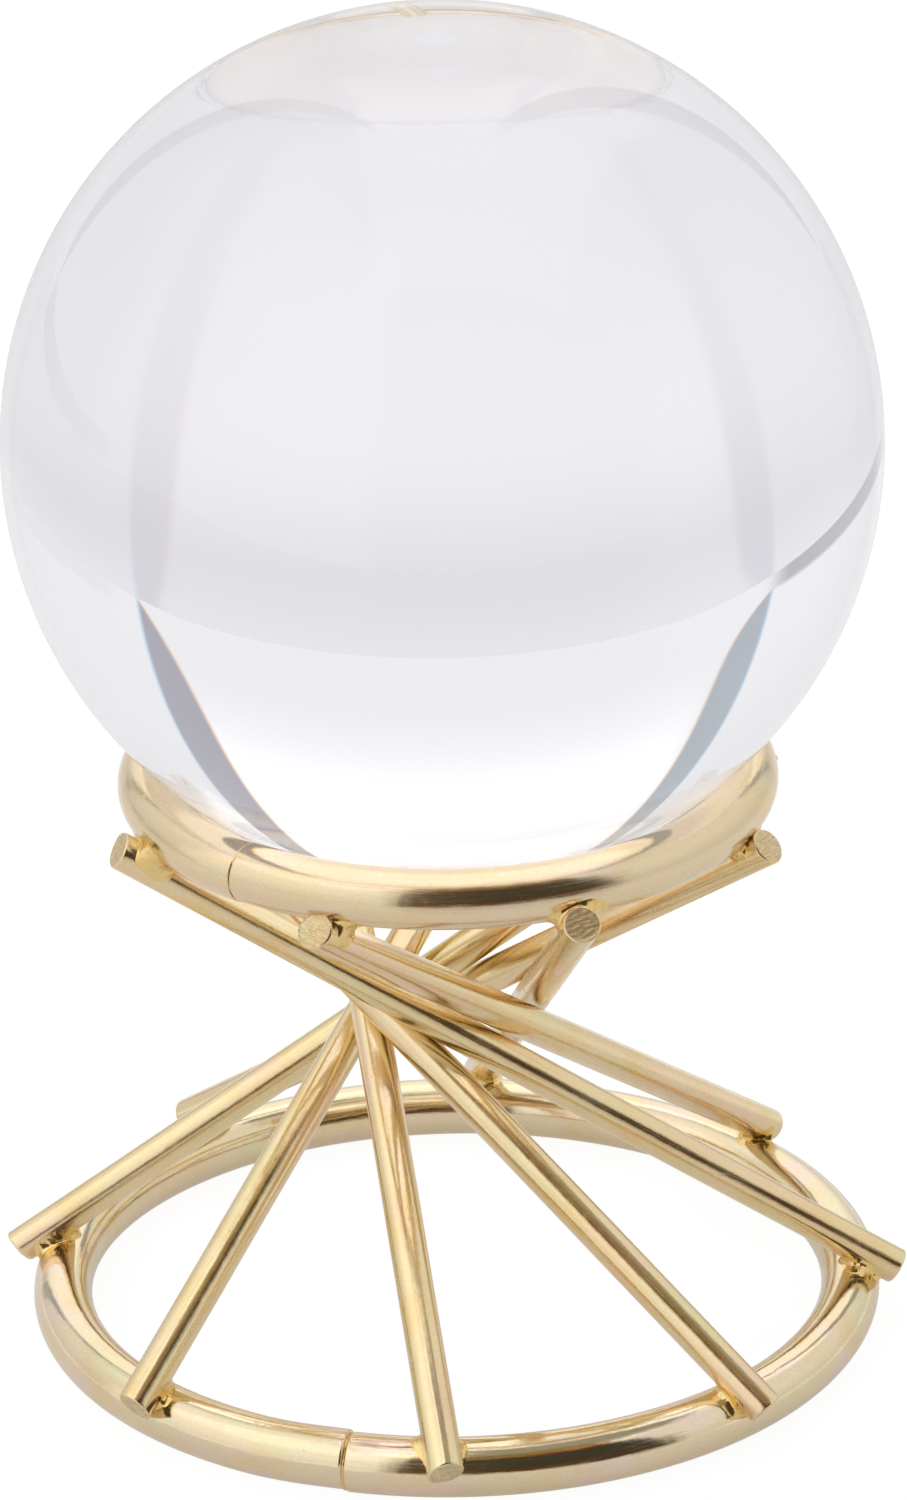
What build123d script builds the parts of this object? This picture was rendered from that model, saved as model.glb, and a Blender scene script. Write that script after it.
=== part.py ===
from build123d import *
import math
import os

# A crystal ball on a twisted wire stand, in millimetres.
#
# Two rings of thick wire, a wide one on the table and a smaller one above it, are joined by
# eight straight rods. Every rod leans the same way round, so together they draw in to a waist
# and spread again. The rods lie on top of the lower ring and under the upper ring, and each
# crossing is welded. The glass ball rests in the upper ring by its own weight.
#
# +Z is up. The origin is the centre of the lower ring, on the table.

# Driving dimensions
BALL_DIAMETER = 80.0
RING_WIRE_DIAMETER = 5.5
ROD_WIRE_DIAMETER = 3.4
LOWER_RING_DIAMETER = 74.6      # across the centreline of the wire
UPPER_RING_DIAMETER = 55.4      # across the centreline of the wire
UPPER_RING_HEIGHT = 54.7        # from the table to the centreline of the wire
ROD_COUNT = 8
FIRST_ROD_ANGLE = 175.0         # where the first rod crosses the lower ring, from +X towards +Y
ROD_TWIST = 151.0               # how far round a rod turns back on its way up
ROD_OVERHANG = 5.2              # a rod's free end past the place where it crosses a ring
WELD_SINK = 0.5                 # how far the weld draws a rod into a ring
WELD_RADIUS = 2.4
ROD_END_CHAMFER = 0.15
BALL_CLEARANCE = 0.15           # between the ball and the ring that it rests in

# The rods are laid on the rings by eye, so each end is a little off an even spacing, in degrees.
LOWER_END_ERRORS = (-3.0, 3.0, 2.0, 1.0, 0.0, -1.0, 0.0, -2.0)
UPPER_END_ERRORS = (-2.5, 2.5, 1.7, 0.5, 1.0, 0.0, -0.4, -0.5)

# They are not slid home alike either, so each end runs on a little more or less, in millimetres.
LOWER_OVERHANG_ERRORS = (0.4, -0.3, 0.3, 0.1, 0.2, -1.9, 0.0, 0.0)
UPPER_OVERHANG_ERRORS = (0.0, 0.0, 0.0, 0.0, 0.8, -1.0, 0.6, -0.2)

# Each ring is one length of wire bent round until its ends meet, and closed by a butt weld.
LOWER_SEAM_ANGLE = 254.6
UPPER_SEAM_ANGLE = 229.5
SEAM_WIDTH = 0.4
SEAM_DEPTH = 0.12               # how far the butt weld lies below the skin of the wire

# Worked out from the driving dimensions
BALL_RADIUS = BALL_DIAMETER / 2
RING_WIRE_RADIUS = RING_WIRE_DIAMETER / 2
ROD_WIRE_RADIUS = ROD_WIRE_DIAMETER / 2
LOWER_RING_RADIUS = LOWER_RING_DIAMETER / 2
UPPER_RING_RADIUS = UPPER_RING_DIAMETER / 2
LOWER_RING_HEIGHT = RING_WIRE_RADIUS
ROD_TO_RING = RING_WIRE_RADIUS + ROD_WIRE_RADIUS - WELD_SINK
BALL_TO_RING = BALL_RADIUS + BALL_CLEARANCE + RING_WIRE_RADIUS
BALL_HEIGHT = UPPER_RING_HEIGHT + math.sqrt(BALL_TO_RING**2 - UPPER_RING_RADIUS**2)
ROD_ANGLE_STEP = 360.0 / ROD_COUNT


class Crossing:
    """The place where a rod lies on a ring: side is 1 on top of the ring and -1 under it."""

    def __init__(self, ring_radius, ring_height, angle, side):
        turn = math.radians(angle)
        self.side = side
        self.centre = Vector(ring_radius * math.cos(turn), ring_radius * math.sin(turn), ring_height)
        self.tangent = Vector(-math.sin(turn), math.cos(turn), 0)

    def normal(self, direction):
        """The unit vector from the wire of the ring to the rod, square to both."""
        across = direction.cross(self.tangent).normalized()
        return across * math.copysign(1, across.Z * self.side)

    def axis_point(self, direction):
        """The point of the rod's axis straight above or below the centreline of the ring."""
        rise = ROD_TO_RING / self.normal(direction).Z
        return self.centre + Vector(0, 0, rise)

    def contact(self, direction):
        """The middle of the place where rod and ring meet."""
        return self.centre + self.normal(direction) * (RING_WIRE_RADIUS - WELD_SINK / 2)


def wire_ring(radius, height, seam_angle):
    """One turn of thick wire, open at the seam by the width of the butt weld."""
    gap = math.degrees(SEAM_WIDTH / radius)
    profile = Plane.XZ * Pos(radius, 0) * Circle(RING_WIRE_RADIUS)
    turn = revolve(profile, Axis.Z, 360 - gap)
    return Pos(0, 0, height) * Rot(0, 0, seam_angle + gap / 2) * turn


def ring_seam(radius, height, seam_angle):
    """The butt weld that fills the gap in a ring, a little below the skin of the wire."""
    gap = math.degrees(SEAM_WIDTH / radius)
    profile = Plane.XZ * Pos(radius, 0) * Circle(RING_WIRE_RADIUS - SEAM_DEPTH)
    filling = revolve(profile, Axis.Z, gap)
    return Pos(0, 0, height) * Rot(0, 0, seam_angle - gap / 2) * filling


def whole_ring(radius, height):
    """A ring with no gap, which cuts the saddles into the rods and shapes the welds."""
    return Pos(0, 0, height) * Torus(radius, RING_WIRE_RADIUS)


def rod_crossings(index):
    """The lower and the upper crossing of one rod."""
    lower_angle = FIRST_ROD_ANGLE + ROD_ANGLE_STEP * index
    upper_angle = lower_angle - ROD_TWIST
    lower = Crossing(LOWER_RING_RADIUS, LOWER_RING_HEIGHT, lower_angle + LOWER_END_ERRORS[index], 1)
    upper = Crossing(UPPER_RING_RADIUS, UPPER_RING_HEIGHT, upper_angle + UPPER_END_ERRORS[index], -1)
    return lower, upper


def rod_direction(lower, upper):
    """The unit vector up the rod. Its rise over the rings depends on its own slope, so it settles."""
    direction = (upper.centre - lower.centre).normalized()
    for _ in range(8):
        direction = (upper.axis_point(direction) - lower.axis_point(direction)).normalized()
    return direction


def straight_rod(index, lower, upper, direction):
    """A straight length of wire with square cut ends, which runs past both crossings."""
    start = lower.axis_point(direction) - direction * (ROD_OVERHANG + LOWER_OVERHANG_ERRORS[index])
    end = upper.axis_point(direction) + direction * (ROD_OVERHANG + UPPER_OVERHANG_ERRORS[index])
    length = (end - start).length
    bar = Cylinder(ROD_WIRE_RADIUS, length, align=(Align.CENTER, Align.CENTER, Align.MIN))
    bar = chamfer(bar.edges().filter_by(GeomType.CIRCLE), ROD_END_CHAMFER)
    return Plane(origin=start, z_dir=direction) * bar


def weld_bead(crossing, direction, bar, ring):
    """A drop of metal round the place where rod and ring touch, filling the corner between them."""
    drop = Location(crossing.contact(direction)) * Sphere(WELD_RADIUS)
    return drop - ring - bar


def build_stand():
    """Every piece of the stand, by name."""
    lower_whole = whole_ring(LOWER_RING_RADIUS, LOWER_RING_HEIGHT)
    upper_whole = whole_ring(UPPER_RING_RADIUS, UPPER_RING_HEIGHT)
    pieces = {
        "lower_ring": wire_ring(LOWER_RING_RADIUS, LOWER_RING_HEIGHT, LOWER_SEAM_ANGLE),
        "lower_ring_seam": ring_seam(LOWER_RING_RADIUS, LOWER_RING_HEIGHT, LOWER_SEAM_ANGLE),
        "upper_ring": wire_ring(UPPER_RING_RADIUS, UPPER_RING_HEIGHT, UPPER_SEAM_ANGLE),
        "upper_ring_seam": ring_seam(UPPER_RING_RADIUS, UPPER_RING_HEIGHT, UPPER_SEAM_ANGLE),
    }
    for index in range(ROD_COUNT):
        lower, upper = rod_crossings(index)
        direction = rod_direction(lower, upper)
        bar = straight_rod(index, lower, upper, direction)
        number = index + 1
        pieces[f"rod_{number}"] = bar - lower_whole - upper_whole
        pieces[f"lower_weld_{number}"] = weld_bead(lower, direction, bar, lower_whole)
        pieces[f"upper_weld_{number}"] = weld_bead(upper, direction, bar, upper_whole)
    return pieces


def build_ball():
    """The solid glass ball, resting in the upper ring."""
    return Pos(0, 0, BALL_HEIGHT) * Sphere(BALL_RADIUS)


def main():
    pieces = build_stand()
    pieces["crystal_ball"] = build_ball()
    os.makedirs("parts", exist_ok=True)
    for name, piece in pieces.items():
        export_step(piece, f"parts/{name}.step")
        print(f"{name}: {piece.volume:.2f} cubic mm")


main()
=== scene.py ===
"""The looks of a crystal ball on a twisted gold wire stand.

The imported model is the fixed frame. Every piece of it is replaced by a finer one that lies in the
same place: the wires are swept surfaces with sheared ends and open butt seams, the welds are beads
that fill the corner between two wires, and the ball is a polished glass sphere. Lengths are in
metres unless a name says otherwise.
"""
import logging
import math
from dataclasses import dataclass, field
from enum import Enum
from typing import Any, Optional, Union

import bpy
import numpy as np
from mathutils import Matrix, Vector


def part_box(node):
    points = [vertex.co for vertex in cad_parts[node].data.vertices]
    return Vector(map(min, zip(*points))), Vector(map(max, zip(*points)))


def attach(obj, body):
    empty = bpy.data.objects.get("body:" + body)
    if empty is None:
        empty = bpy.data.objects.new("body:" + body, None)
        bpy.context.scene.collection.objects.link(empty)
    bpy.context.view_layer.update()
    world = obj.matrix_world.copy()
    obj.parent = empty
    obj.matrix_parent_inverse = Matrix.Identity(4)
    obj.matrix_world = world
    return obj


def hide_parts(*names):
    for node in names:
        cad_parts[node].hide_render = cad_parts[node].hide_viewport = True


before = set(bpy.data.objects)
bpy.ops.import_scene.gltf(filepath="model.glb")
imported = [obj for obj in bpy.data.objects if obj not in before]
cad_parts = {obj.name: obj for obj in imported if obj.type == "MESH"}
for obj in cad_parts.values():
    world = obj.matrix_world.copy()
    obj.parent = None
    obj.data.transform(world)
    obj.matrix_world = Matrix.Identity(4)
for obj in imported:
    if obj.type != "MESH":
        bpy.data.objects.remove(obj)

MM = 0.001
TINY = 1e-9

# How many seeds each weld bead takes
BEAD_SEEDS = 3

STAND_BODY = "stand"
BALL_BODY = "ball"

# Mesh attributes: a place in the wire's own straightened space, in millimetres, and two shares
WIRE_SPACE = "wire_space"
HEAT = "heat"
CUT = "cut"

# Patterns on the wire, in waves per millimetre across, above and along it
STREAKS = (5.0, 5.0, 0.16)
HAIRS = (16.0, 16.0, 1.1)
GRAIN = (4.5, 4.5, 2.6)
PATCHES = (0.35, 0.35, 0.11)
SCRATCHES = (0.45, 0.45, 0.035)
HATCH = (1.1, 5.5, 0.5)

# Patterns that are alike in all directions, in waves per millimetre
SCRATCHED_PLACES = 0.13
BLOTCHES = 0.16
SCORCHES = 0.5
DENTS = 0.55
GRIT = 4.2
HATCH_GRAIN = 6.0

# How far apart the rods lie in the pattern's space, in millimetres, so that no two look alike
OWN_PATTERN = 97.0

DUST_COLOUR = (0.93, 0.89, 0.80)
GRIT_COLOUR = (0.30, 0.20, 0.10)
SHEAR_COLOUR = (0.42, 0.33, 0.20)

log = logging.getLogger("crystal_ball")
Array = np.ndarray
Colour = tuple[float, float, float]
Place = tuple[float, float, float]
Limits = tuple[float, float]


class Slot(Enum):
    """The record's material slots."""

    CRYSTAL = "crystal"
    RING_WIRE = "ring_wire"
    ROD_WIRE = "rod_wire"
    WELD_METAL = "weld_metal"


# ------------------------------------------------------------------------------------------------
# Shader expressions
# ------------------------------------------------------------------------------------------------


class Value:
    """A number in a shader. Python's operators on it add Math nodes to its tree."""

    def __init__(self, tree: "ShaderTree", socket: bpy.types.NodeSocket) -> None:
        """Wraps an output socket.

        Args:
            tree: the tree that the socket belongs to.
            socket: the output that holds the number.
        """
        self.tree = tree
        self.socket = socket

    def math(self, operation: str, *others: "Number") -> "Value":
        """This number put through one Math node.

        Args:
            operation: the Math node's operation.
            others: the node's further inputs, in order.

        Returns:
            The result.
        """
        sockets = dict(enumerate((self, *others)))
        return self.tree.value("ShaderNodeMath", {"operation": operation}, sockets)

    def _reflected(self, operation: str, first: float) -> "Value":
        """One Math node with a plain number first and this one second."""
        return self.tree.value("ShaderNodeMath", {"operation": operation}, {0: first, 1: self})

    def __add__(self, other: "Number") -> "Value":
        """self + other."""
        return self.math("ADD", other)

    def __radd__(self, other: float) -> "Value":
        """other + self."""
        return self.math("ADD", other)

    def __sub__(self, other: "Number") -> "Value":
        """self - other."""
        return self.math("SUBTRACT", other)

    def __rsub__(self, other: float) -> "Value":
        """other - self."""
        return self._reflected("SUBTRACT", other)

    def __mul__(self, other: "Number") -> "Value":
        """self * other."""
        return self.math("MULTIPLY", other)

    def __rmul__(self, other: float) -> "Value":
        """other * self."""
        return self.math("MULTIPLY", other)

    def __truediv__(self, other: "Number") -> "Value":
        """self / other."""
        return self.math("DIVIDE", other)

    def __abs__(self) -> "Value":
        """The size of self without its sign."""
        return self.math("ABSOLUTE")

    def lift(self, low: "Number", high: "Number") -> "Value":
        """A smooth step of self.

        Args:
            low: where the step is still 0.
            high: where it has reached 1.

        Returns:
            0 to 1, by the cubic 3t^2 - 2t^3.
        """
        sockets = {"Value": self, "From Min": low, "From Max": high}
        return self.tree.value("ShaderNodeMapRange", {"interpolation_type": "SMOOTHSTEP"}, sockets)


Number = Union[float, Value]


class ShaderTree:
    """A node tree that is filled from Python expressions."""

    def __init__(self, tree: bpy.types.NodeTree) -> None:
        """Empties the tree.

        Args:
            tree: a material's or the world's node tree.
        """
        self.tree = tree
        tree.nodes.clear()

    def node(
        self,
        kind: str,
        settings: Optional[dict[str, Any]] = None,
        sockets: Optional[dict[Union[str, int], Any]] = None,
    ) -> bpy.types.Node:
        """Adds one node.

        Args:
            kind: the node's type.
            settings: its properties, which are set before its sockets.
            sockets: what goes into each input: a Value, an output socket or a plain value.

        Returns:
            The node.
        """
        made = self.tree.nodes.new(kind)
        for name, setting in (settings or {}).items():
            setattr(made, name, setting)
        for name, given in (sockets or {}).items():
            given = given.socket if isinstance(given, Value) else given
            if isinstance(given, bpy.types.NodeSocket):
                self.tree.links.new(given, made.inputs[name])
            else:
                made.inputs[name].default_value = given
        return made

    def value(
        self,
        kind: str,
        settings: Optional[dict[str, Any]] = None,
        sockets: Optional[dict[Union[str, int], Any]] = None,
        output: Union[str, int] = 0,
    ) -> Value:
        """Adds one node and wraps one of its outputs as a number.

        Args:
            kind: the node's type.
            settings: its properties.
            sockets: what goes into each input.
            output: the output to wrap.

        Returns:
            The wrapped output.
        """
        return Value(self, self.node(kind, settings, sockets).outputs[output])

    def object_space(self) -> bpy.types.NodeSocket:
        """Object coordinates, in metres in the row frame."""
        return self.node("ShaderNodeTexCoord").outputs["Object"]

    def attribute(self, name: str, output: str) -> bpy.types.NodeSocket:
        """One output of a mesh attribute.

        Args:
            name: the attribute's name.
            output: "Vector" or "Fac".

        Returns:
            The output socket.
        """
        return self.node("ShaderNodeAttribute", {"attribute_name": name}).outputs[output]

    def stretched(self, vector: bpy.types.NodeSocket, scale: Place) -> bpy.types.NodeSocket:
        """A vector multiplied axis by axis.

        Args:
            vector: the vector.
            scale: the three factors.

        Returns:
            The product.
        """
        sockets = {0: vector, 1: scale}
        return self.node("ShaderNodeVectorMath", {"operation": "MULTIPLY"}, sockets).outputs[0]

    def noise(self, vector: bpy.types.NodeSocket, scale: float, detail: float = 2.0) -> Value:
        """Smooth noise from 0 to 1.

        Args:
            vector: where it is read.
            scale: its waves per unit.
            detail: how many finer octaves it has.

        Returns:
            The noise.
        """
        sockets = {"Vector": vector, "Scale": scale, "Detail": detail}
        return self.value("ShaderNodeTexNoise", {}, sockets, "Fac")

    def mixed(self, share: Number, first: Any, second: Any) -> bpy.types.NodeSocket:
        """A mix of two colours.

        Args:
            share: how much of the second there is, 0 to 1.
            first: a colour or a colour socket.
            second: a colour or a colour socket.

        Returns:
            The mixed colour.
        """
        sockets = {0: share}
        for number, colour in ((6, first), (7, second)):
            sockets[number] = colour if isinstance(colour, bpy.types.NodeSocket) else (*colour, 1.0)
        return self.node("ShaderNodeMix", {"data_type": "RGBA"}, sockets).outputs[2]

    def bump(
        self, height: Value, depth: float, under: Optional[bpy.types.NodeSocket] = None
    ) -> bpy.types.NodeSocket:
        """A normal tilted by a height.

        Args:
            height: the relief, 0 to 1.
            depth: how deep a relief of 1 is, in metres.
            under: a normal that this relief lies on.

        Returns:
            The normal.
        """
        sockets = {"Height": height, "Distance": depth, "Strength": 1.0}
        if under is not None:
            sockets["Normal"] = under
        return self.node("ShaderNodeBump", {}, sockets).outputs["Normal"]

    def principled(self, sockets: dict[str, Any]) -> bpy.types.NodeSocket:
        """A Principled shader with these inputs."""
        return self.node("ShaderNodeBsdfPrincipled", {}, sockets).outputs[0]

    def finish(self, shader: bpy.types.NodeSocket, output: str = "ShaderNodeOutputMaterial") -> None:
        """Links a shader to the tree's output.

        Args:
            shader: the shader.
            output: the output node's type.
        """
        self.node(output, {}, {"Surface": shader})


def new_material(name: str) -> tuple[bpy.types.Material, ShaderTree]:
    """Makes an empty material.

    Args:
        name: its name.

    Returns:
        The material and its tree.
    """
    made = bpy.data.materials.new(name)
    made.use_nodes = True
    return made, ShaderTree(made.node_tree)


# ------------------------------------------------------------------------------------------------
# Finishes
# ------------------------------------------------------------------------------------------------


class WireMarks:
    """The marks on drawn and plated wire, each a number that varies over its surface."""

    def __init__(self, tree: ShaderTree, specks: float) -> None:
        """Adds the patterns: noise in the wire's straightened space, mostly stretched along it.

        Args:
            tree: the material's tree.
            specks: how rare the small dark specks are, as a threshold from 0 to 1.
        """
        wire = tree.attribute(WIRE_SPACE, "Vector")
        scorches = tree.noise(wire, SCORCHES, 2.0)
        ragged = tree.noise(wire, HATCH_GRAIN, 1.0)
        self.heat = Value(tree, tree.attribute(HEAT, "Fac"))
        self.sheared = Value(tree, tree.attribute(CUT, "Fac"))
        self.streaks = tree.noise(tree.stretched(wire, STREAKS), 1.0, 5.0)
        self.hairs = tree.noise(tree.stretched(wire, HAIRS), 1.0, 2.0)
        self.grain = tree.noise(tree.stretched(wire, GRAIN), 1.0, 3.0)
        self.patches = tree.noise(tree.stretched(wire, PATCHES), 1.0, 2.0)
        self.hatch = tree.noise(tree.stretched(wire, HATCH), 1.0, 2.0) + ragged * 0.7
        self.blotches = tree.noise(wire, BLOTCHES, 3.0)
        self.dents = tree.noise(wire, DENTS, 1.0)
        self.grit = tree.noise(wire, GRIT, 2.0).lift(specks, specks + 0.06)
        # Amber at the welds: weld heat tint, which on the beads also stands for painted reflection of the
        # corner between the wires.
        self.weld_amber_share = (self.heat * 1.5 - scorches * 0.8).lift(0.0, 0.9)
        self.scratches = self._scratches(tree, wire)

    @staticmethod
    def _scratches(tree: ShaderTree, wire: bpy.types.NodeSocket) -> Value:
        """Hairlines: the thin bands where a smooth noise crosses a half, kept in a few places.

        Args:
            tree: the material's tree.
            wire: places in the wire's straightened space.

        Returns:
            1 on a hairline and 0 elsewhere.
        """
        course = tree.noise(tree.stretched(wire, SCRATCHES), 1.0, 1.0)
        line = 1.0 - abs(course - 0.5).lift(0.0, 0.005)
        return line * tree.noise(wire, SCRATCHED_PLACES, 1.0).lift(0.48, 0.58)


@dataclass(frozen=True)
class GoldPlate:
    """Pale gold plating over steel wire: drawn streaks, blotches of tint, specks and an amber at the
    welds, which is weld heat tint and, on the beads, painted reflection of the corner.

    Attributes:
        name: the material's name.
        pale: the colour of clean plating.
        deep: the yellower colour of thick plating, in blotches.
        weld_amber: the amber at the welds: the tint that the heat of a weld leaves, which on the beads
            also stands for painted reflection in the corner.
        blush: the pink that thin plating shows in patches.
        olive: the green that it shows beside the pink.
        tint: how strong the pink and green patches are, 0 to 1.
        roughness: the roughness of the cleanest metal.
        streak_roughness: how much the drawn streaks add to it.
        streak_depth: the depth of the drawn streaks.
        dent_depth: the depth of the broad dents.
        grain_depth: the depth of the fine grain of the plating.
        hatch_depth: the depth of the hatching on sheared faces.
        specks: how rare the small dark specks are, as a threshold from 0 to 1.
        scratches: how much the hairline scratches add to the roughness.
        dust: how much the fine grain darkens and lightens the colour.
    """

    name: str
    pale: Colour
    deep: Colour = (0.84, 0.64, 0.32)
    weld_amber: Colour = (0.74, 0.47, 0.14)
    blush: Colour = (0.84, 0.66, 0.54)
    olive: Colour = (0.74, 0.71, 0.46)
    tint: float = 0.5
    roughness: float = 0.10
    streak_roughness: float = 0.16
    streak_depth: float = 0.003 * MM
    dent_depth: float = 0.024 * MM
    grain_depth: float = 0.002 * MM
    hatch_depth: float = 0.022 * MM
    specks: float = 0.73
    scratches: float = 0.20
    dust: float = 0.16

    def _colour(self, tree: ShaderTree, marks: WireMarks) -> bpy.types.NodeSocket:
        """The colour of the plating: one layer laid on the next, from the clean metal up.

        Args:
            tree: the material's tree.
            marks: the marks on the wire.

        Returns:
            The colour.
        """
        cool = 1.0 - marks.heat
        layers = (
            (marks.blotches.lift(0.42, 0.72) * 0.5, self.deep),
            (marks.patches.lift(0.50, 0.68) * self.tint * cool, self.blush),
            ((1.0 - marks.patches).lift(0.52, 0.72) * self.tint * cool, self.olive),
            (marks.streaks.lift(0.55, 0.85) * 0.30, self.deep),
            # Amber at the welds: heat tint, and on the beads painted reflection of the corner.
            (marks.weld_amber_share, self.weld_amber),
            (marks.grain.lift(0.50, 0.72) * self.dust, self.deep),
            ((1.0 - marks.grain).lift(0.50, 0.72) * self.dust, DUST_COLOUR),
            (marks.grit * 0.6, GRIT_COLOUR),
            (marks.sheared * marks.hatch.lift(0.6, 1.1) * 0.6, SHEAR_COLOUR),
        )
        colour = self.pale
        for share, layer in layers:
            colour = tree.mixed(share, colour, layer)
        return colour

    def _roughness(self, marks: WireMarks) -> Value:
        """The roughness of the cleanest metal and what each mark adds to it."""
        return (
            marks.streaks.lift(0.42, 0.78) * self.streak_roughness
            + marks.hairs.lift(0.50, 0.80) * 0.08
            + marks.grit * 0.30
            + marks.scratches * self.scratches
            + marks.sheared * 0.26
            + self.roughness
        )

    def _relief(self, tree: ShaderTree, marks: WireMarks) -> bpy.types.NodeSocket:
        """The normal of the worn surface: dents, streaks, grain and hatching, one on the other.

        Args:
            tree: the material's tree.
            marks: the marks on the wire.

        Returns:
            The normal.
        """
        reliefs = (
            (marks.dents, self.dent_depth),
            (marks.streaks + marks.hairs * 0.5 - marks.scratches * 0.3, self.streak_depth),
            (marks.grain, self.grain_depth),
            (marks.hatch * marks.sheared, self.hatch_depth),
        )
        normal = None
        for height, depth in reliefs:
            normal = tree.bump(height, depth, normal)
        return normal

    def material(self) -> bpy.types.Material:
        """Builds the material.

        Returns:
            The material.
        """
        made, tree = new_material(self.name)
        marks = WireMarks(tree, self.specks)
        sockets = {
            "Base Color": self._colour(tree, marks),
            "Metallic": 1.0,
            "Roughness": self._roughness(marks),
            "Normal": self._relief(tree, marks),
        }
        tree.finish(tree.principled(sockets))
        return made


@dataclass(frozen=True)
class CrystalGlass:
    """Polished lead-free crystal, with faint smears and a rubbed line where it sits in its ring.

    Attributes:
        name: the material's name.
        rub_height: the height of the circle that rests on the ring.
        colour: what the glass lets through.
        ior: how much it bends light.
        smear: the roughness of the worst smears.
        rub: the roughness of the rubbed line.
        rub_width: how far the rubbed line goes above and below its middle.
    """

    name: str
    rub_height: float
    colour: Colour = (0.968, 0.961, 0.995)
    ior: float = 1.52
    smear: float = 0.012
    rub: float = 0.10
    rub_width: float = 0.9 * MM

    def material(self) -> bpy.types.Material:
        """Builds the material.

        Returns:
            The material.
        """
        made, tree = new_material(self.name)
        place = tree.object_space()
        height = tree.value("ShaderNodeSeparateXYZ", {}, {0: place}, "Z")
        off_line = abs(height - self.rub_height) / self.rub_width
        scuffs = tree.noise(tree.stretched(place, (1.0, 1.0, 6.0)), 900.0, 3.0).lift(0.5, 0.7)
        smears = tree.noise(place, 26.0, 3.0).lift(0.62, 0.85)
        rubbed = (1.0 - off_line).lift(0.0, 1.0) * scuffs
        sockets = {
            "Base Color": (*self.colour, 1.0),
            "Roughness": smears * self.smear + rubbed * self.rub,
            "IOR": self.ior,
            "Transmission Weight": 1.0,
        }
        tree.finish(tree.principled(sockets))
        return made


@dataclass(frozen=True)
class StudioFloor:
    """A plain pale table top, a little glossy away from the object, which glows so that its
    shadows stay soft.

    Attributes:
        colour: its colour, as the object and the ball see it.
        seen_colour: its colour where it is looked at straight.
        gloss_start: how far from the middle the gloss sets in.
        gloss_fade: over what distance it grows.
        polish: the roughness of the glossy part.
        gloss: how strongly the glossy part reflects.
        glow: the light that it adds to what reflects it.
        pool: that light in the pool of light behind the object.
        far_glow: that light far from the object.
        dull: the share of the table that doesn't mirror anything far from the object.
        seen_glow: the light that it adds where it is looked at straight.
        pool_centre: the middle of that pool.
        pool_reach: how far the pool goes.
        near: how far from the middle the table begins to turn dull.
        far: how far from the middle it is as dull as it gets.
    """

    colour: Colour = (0.44, 0.44, 0.448)
    seen_colour: Colour = (0.09, 0.09, 0.09)
    gloss_start: float = 0.075
    gloss_fade: float = 0.03
    polish: float = 0.11
    gloss: float = 0.38
    glow: Colour = (0.385, 0.378, 0.385)
    pool: Colour = (0.465, 0.46, 0.47)
    far_glow: Colour = (0.295, 0.29, 0.30)
    dull: float = 0.5
    seen_glow: float = 0.945
    pool_centre: Place = (0.0, 0.20, 0.0)
    pool_reach: float = 0.19
    near: float = 0.10
    far: float = 0.50

    @staticmethod
    def _surface(
        tree: ShaderTree, colour: Colour, roughness: Number, gloss: float, glow: Any
    ) -> bpy.types.NodeSocket:
        """A surface that reflects and glows.

        Args:
            tree: the material's tree.
            colour: its colour.
            roughness: its roughness.
            gloss: how strongly it reflects.
            glow: the colour and strength of its light.

        Returns:
            The shader.
        """
        sockets = {
            "Base Color": (*colour, 1.0),
            "Roughness": roughness,
            "Specular IOR Level": gloss,
            "Emission Color": glow,
            "Emission Strength": 1.0,
        }
        return tree.principled(sockets)

    def material(self) -> bpy.types.Material:
        """Builds the material: glossy near by, half dull far away, and almost white to look at.

        Returns:
            The material.
        """
        made, tree = new_material("table_top")
        place = tree.object_space()
        reach = tree.value("ShaderNodeVectorMath", {"operation": "LENGTH"}, {0: place}, "Value")
        to_pool = {0: place, 1: self.pool_centre}
        off_pool = tree.value("ShaderNodeVectorMath", {"operation": "DISTANCE"}, to_pool, "Value")
        glossy = reach.lift(self.gloss_start, self.gloss_start + self.gloss_fade)
        away = reach.lift(self.near, self.far)
        glow = tree.mixed(off_pool.lift(0.0, self.pool_reach), self.pool, self.glow)
        glow = tree.mixed(away, glow, self.far_glow)
        polished = self._surface(tree, self.colour, 1.0 - glossy * (1.0 - self.polish), self.gloss, glow)
        plain = self._surface(tree, self.colour, 1.0, 0.0, glow)
        looked_at = self._surface(tree, self.seen_colour, 1.0, 0.0, (self.seen_glow,) * 3 + (1.0,))
        seen = tree.node("ShaderNodeLightPath").outputs["Is Camera Ray"]
        layers = {0: away * self.dull, 1: polished, 2: plain}
        table = tree.node("ShaderNodeMixShader", {}, layers).outputs[0]
        tree.finish(tree.node("ShaderNodeMixShader", {}, {0: seen, 1: table, 2: looked_at}).outputs[0])
        return made


# ------------------------------------------------------------------------------------------------
# Surfaces
# ------------------------------------------------------------------------------------------------


def waves(points: Array, length: float, seed: int, count: int = 12) -> Array:
    """Smooth noise: the mean of cosine waves that run in fixed random directions.

    Args:
        points: places, one in each row of the last axis.
        length: the length of the waves.
        seed: which set of directions and phases is used.
        count: how many waves there are.

    Returns:
        A number for each place, about -1 to 1.
    """
    draw = np.random.default_rng(seed)
    directions = draw.normal(size=(count, points.shape[-1]))
    directions /= np.linalg.norm(directions, axis=1, keepdims=True)
    turns = directions * (2 * math.pi / length) * draw.uniform(0.7, 1.5, (count, 1))
    phases = draw.uniform(0, 2 * math.pi, count)
    return np.cos(points @ turns.T + phases).mean(axis=-1) * math.sqrt(count / 2)


def smooth_step(x: Array, low: float, high: float) -> Array:
    """The cubic 3t^2 - 2t^3 of how far x has come from low to high.

    Args:
        x: the numbers.
        low: where the step is 0.
        high: where it is 1.

    Returns:
        0 to 1.
    """
    t = np.clip((x - low) / (high - low), 0, 1)
    return t * t * (3 - 2 * t)


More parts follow.
